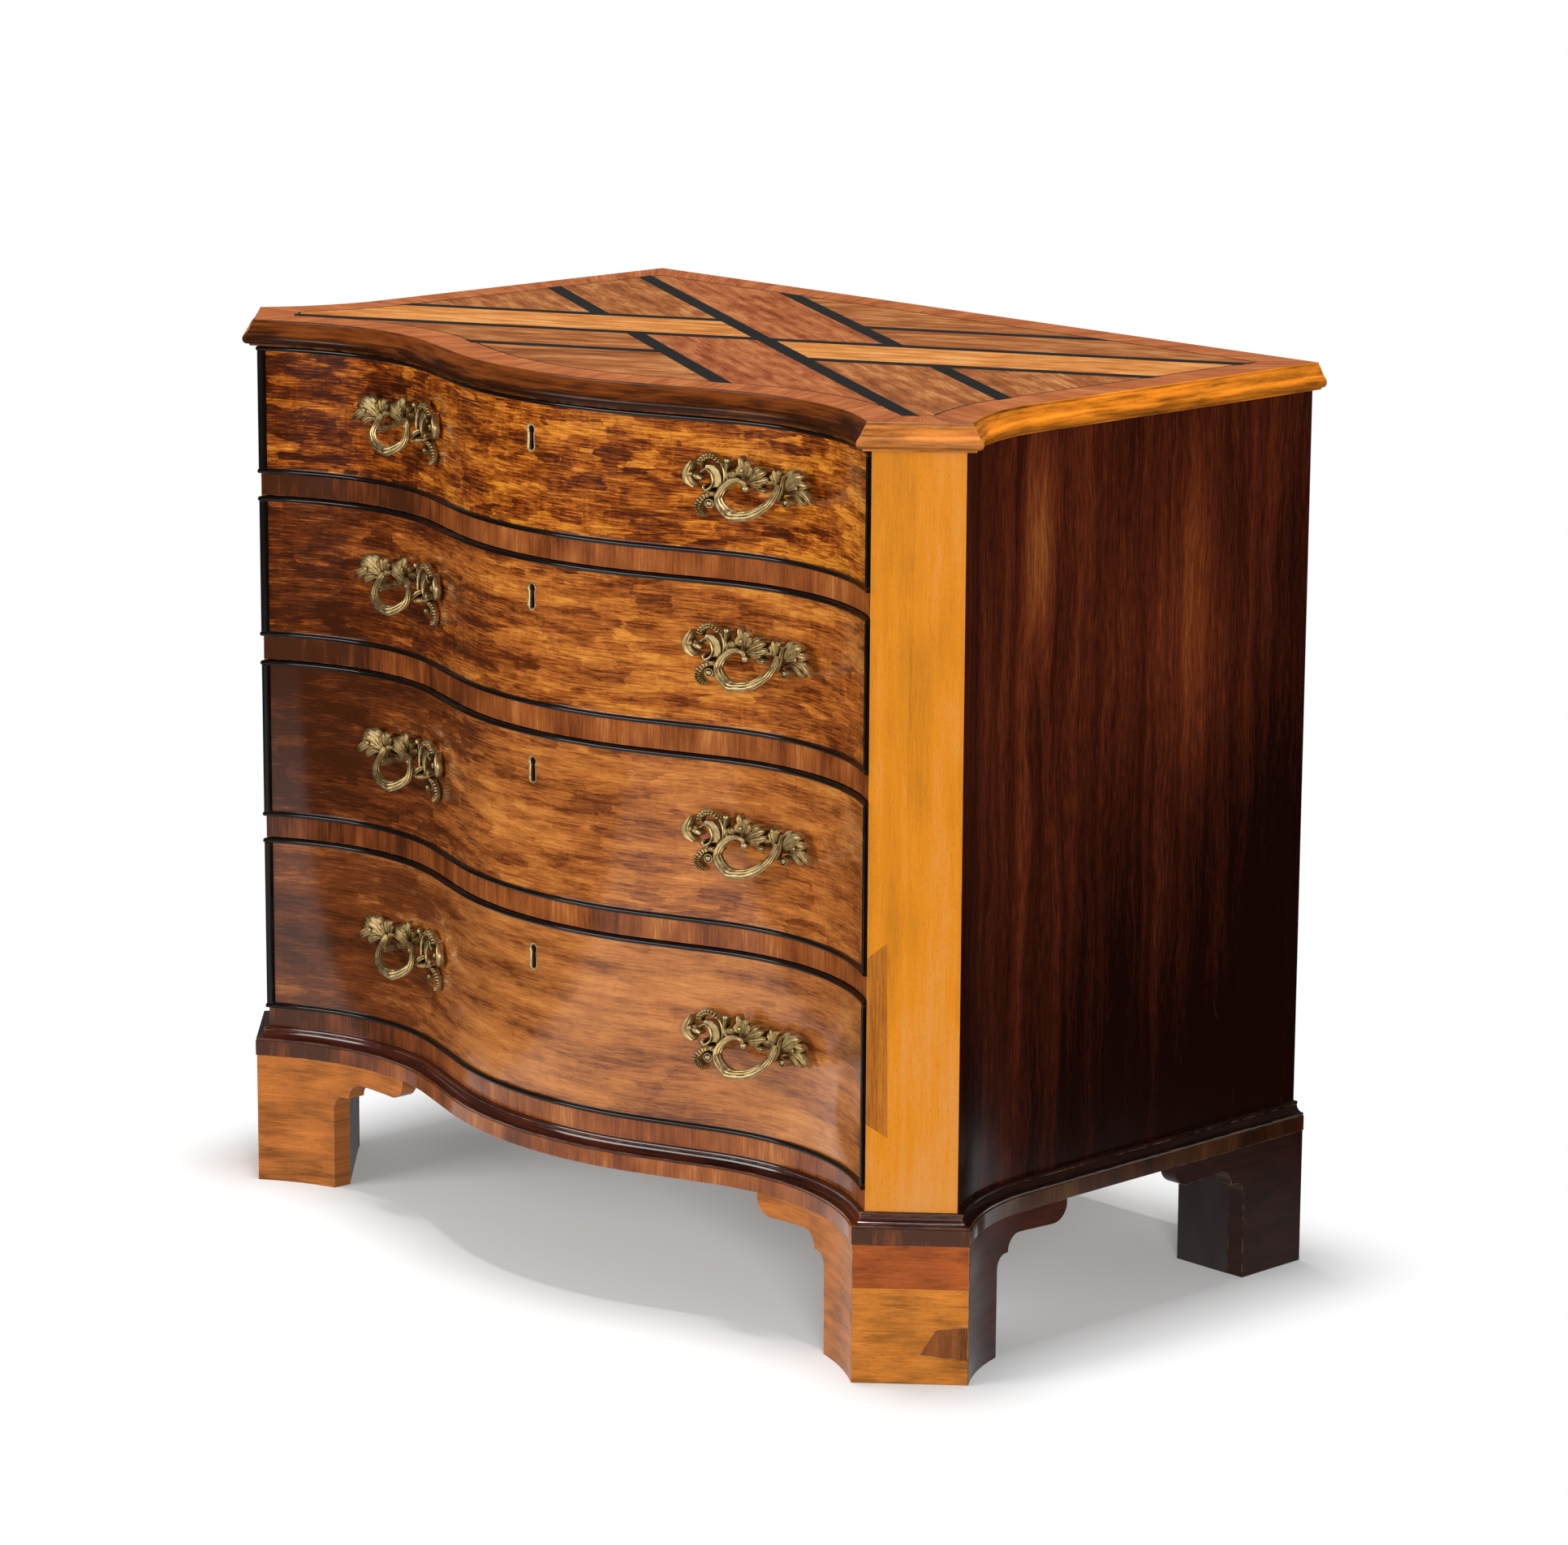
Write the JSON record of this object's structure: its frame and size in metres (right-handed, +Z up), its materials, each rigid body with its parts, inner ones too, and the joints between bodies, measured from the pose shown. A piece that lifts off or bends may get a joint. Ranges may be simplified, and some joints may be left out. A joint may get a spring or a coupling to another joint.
{
  "type": "chest of drawers",
  "caption": "Serpentine-fronted commode with long graduated drawers, canted corner posts, moulded top with diagonal inlay, cast rococo pulls and shaped bracket feet.",
  "frame": {"origin": "on the floor under the middle of the whole box", "axes": "+X to the right along the front, +Y from the front to the back, +Z up"},
  "size_m": [0.9788, 0.5699, 0.838],
  "materials": {
    "mahogany": "polished",
    "ebonised": "polished",
    "oak": "plain",
    "pine": "plain",
    "brass": "aged lacquer",
    "iron": "blackened"
  },
  "bodies": {
    "carcase": {"back_boards": "pine", "base_moulding": "mahogany", "bottom_board": "pine", "bottom_rail": "mahogany", "corner_post_left": "mahogany", "corner_post_right": "mahogany", "drawer_blade_1": "mahogany", "drawer_blade_2": "mahogany", "drawer_blade_3": "mahogany", "drawer_runners": "pine", "drawer_stops": "pine", "dust_boards": "pine", "foot_blocks": "pine", "front_left_foot": "mahogany", "front_right_foot": "mahogany", "plinth_band": "mahogany", "rear_left_foot": "mahogany", "rear_right_foot": "mahogany", "side_left": "mahogany", "side_right": "mahogany", "top_edge_moulding": "mahogany", "top_inlay": "ebonised", "top_panel": "mahogany"},
    "drawer_1": {"drawer_1_bottom": "pine", "drawer_1_box": "oak", "drawer_1_cockbead": "ebonised", "drawer_1_escutcheon": "brass", "drawer_1_front": "mahogany", "drawer_1_handles": "brass", "drawer_1_lock": "iron"},
    "bolt_1": {"drawer_1_lock_bolt": "iron"},
    "drawer_2": {"drawer_2_bottom": "pine", "drawer_2_box": "oak", "drawer_2_cockbead": "ebonised", "drawer_2_escutcheon": "brass", "drawer_2_front": "mahogany", "drawer_2_handles": "brass", "drawer_2_lock": "iron"},
    "bolt_2": {"drawer_2_lock_bolt": "iron"},
    "drawer_3": {"drawer_3_bottom": "pine", "drawer_3_box": "oak", "drawer_3_cockbead": "ebonised", "drawer_3_escutcheon": "brass", "drawer_3_front": "mahogany", "drawer_3_handles": "brass", "drawer_3_lock": "iron"},
    "bolt_3": {"drawer_3_lock_bolt": "iron"},
    "drawer_4": {"drawer_4_bottom": "pine", "drawer_4_box": "oak", "drawer_4_cockbead": "ebonised", "drawer_4_escutcheon": "brass", "drawer_4_front": "mahogany", "drawer_4_handles": "brass", "drawer_4_lock": "iron"},
    "bolt_4": {"drawer_4_lock_bolt": "iron"}
  },
  "joints": [
    {"name": "drawer_1_slide", "type": "slide", "parent": "carcase", "child": "drawer_1", "axis": [0, -1, 0], "range_m": [0, 0.33]},
    {"name": "bolt_1_slide", "type": "slide", "parent": "drawer_1", "child": "bolt_1", "axis": [0, 0, 1], "range_m": [0, 0.009]},
    {"name": "drawer_2_slide", "type": "slide", "parent": "carcase", "child": "drawer_2", "axis": [0, -1, 0], "range_m": [0, 0.33]},
    {"name": "bolt_2_slide", "type": "slide", "parent": "drawer_2", "child": "bolt_2", "axis": [0, 0, 1], "range_m": [0, 0.009]},
    {"name": "drawer_3_slide", "type": "slide", "parent": "carcase", "child": "drawer_3", "axis": [0, -1, 0], "range_m": [0, 0.33]},
    {"name": "bolt_3_slide", "type": "slide", "parent": "drawer_3", "child": "bolt_3", "axis": [0, 0, 1], "range_m": [0, 0.009]},
    {"name": "drawer_4_slide", "type": "slide", "parent": "carcase", "child": "drawer_4", "axis": [0, -1, 0], "range_m": [0, 0.33]},
    {"name": "bolt_4_slide", "type": "slide", "parent": "drawer_4", "child": "bolt_4", "axis": [0, 0, 1], "range_m": [0, 0.009]}
  ]
}
